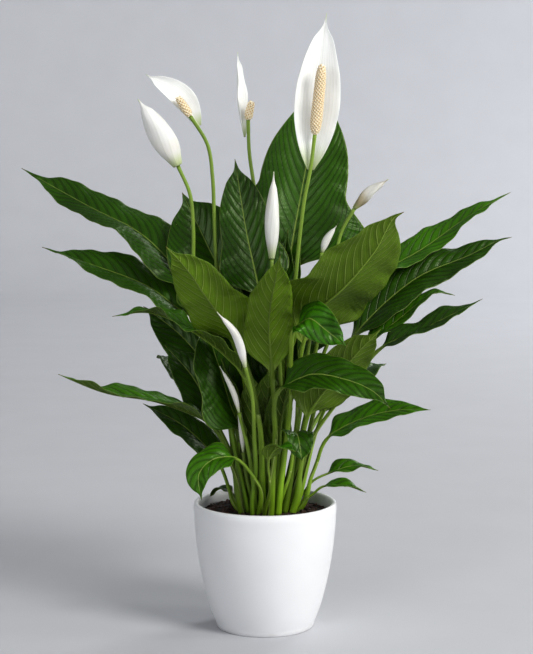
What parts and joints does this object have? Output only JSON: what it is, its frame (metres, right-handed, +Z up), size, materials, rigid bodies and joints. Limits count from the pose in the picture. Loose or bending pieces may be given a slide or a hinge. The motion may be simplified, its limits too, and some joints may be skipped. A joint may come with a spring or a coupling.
{
  "type": "potted peace lily",
  "caption": "Peace lily with glossy pointed leaves, white spathes and cream spadices on tall stems, growing in bark soil in a round white glazed pot that tapers to a flat base.",
  "frame": {"origin": "middle of the pot's flat bottom, where it stands", "axes": "+Z up along the pot's axis; +Y away from the side the tallest flower faces; +X to the right of that side"},
  "size_m": [0.538, 0.323, 0.648],
  "materials": {
    "pot_glaze": "satin",
    "soil": "matte",
    "leaf_dark": "satin",
    "leaf_mid": "satin",
    "leaf_light": "satin",
    "stem": "satin",
    "spathe": "matte",
    "spadix": "matte"
  },
  "bodies": {
    "root": {"pot": "pot_glaze", "soil": "soil", "leaf_left_high": "leaf_dark", "leaf_left_long": "leaf_dark", "leaf_left_pale": "leaf_light", "leaf_left_wavy": "leaf_mid", "leaf_left_shade_1": "leaf_dark", "leaf_left_shade_2": "leaf_dark", "leaf_left_level": "leaf_mid", "leaf_left_low": "leaf_dark", "leaf_left_drooping": "leaf_mid", "leaf_left_small": "leaf_dark", "leaf_centre_front": "leaf_light", "leaf_centre_broad": "leaf_light", "leaf_centre_tall": "leaf_dark", "leaf_centre_left": "leaf_dark", "leaf_centre_shade": "leaf_dark", "leaf_front_short": "leaf_dark", "leaf_front_small": "leaf_light", "leaf_centre_inner": "leaf_dark", "leaf_right_high": "leaf_mid", "leaf_right_large": "leaf_dark", "leaf_right_curled": "leaf_mid", "leaf_right_level": "leaf_dark", "leaf_right_olive": "leaf_light", "leaf_right_bright": "leaf_light", "leaf_right_arching": "leaf_dark", "leaf_right_low": "leaf_mid", "leaf_right_small_1": "leaf_mid", "leaf_right_small_2": "leaf_mid", "leaf_back_1": "leaf_dark", "leaf_back_2": "leaf_dark", "leaf_back_3": "leaf_dark", "leaf_back_4": "leaf_dark", "leaf_back_5": "leaf_mid", "flower_tall_stem": "stem", "flower_tall_spathe": "spathe", "flower_tall_spadix": "spadix", "flower_left_open_stem": "stem", "flower_left_open_spathe": "spathe", "flower_left_open_spadix": "spadix", "flower_back_stem": "stem", "flower_back_spathe": "spathe", "flower_back_spadix": "spadix", "flower_left_closed_stem": "stem", "flower_left_closed_spathe": "spathe", "flower_right_faded_stem": "stem", "flower_right_faded_spathe": "spathe", "flower_centre_closed_stem": "stem", "flower_centre_closed_spathe": "spathe", "flower_low_closed_stem": "stem", "flower_low_closed_spathe": "spathe", "bud_right_stem": "stem", "bud_right_spathe": "spathe", "bud_left_high_stem": "stem", "bud_left_high_spathe": "spathe", "bud_left_low_stem": "stem", "bud_left_low_spathe": "spathe", "bud_low_stem": "stem", "bud_low_spathe": "spathe"}
  },
  "joints": []
}
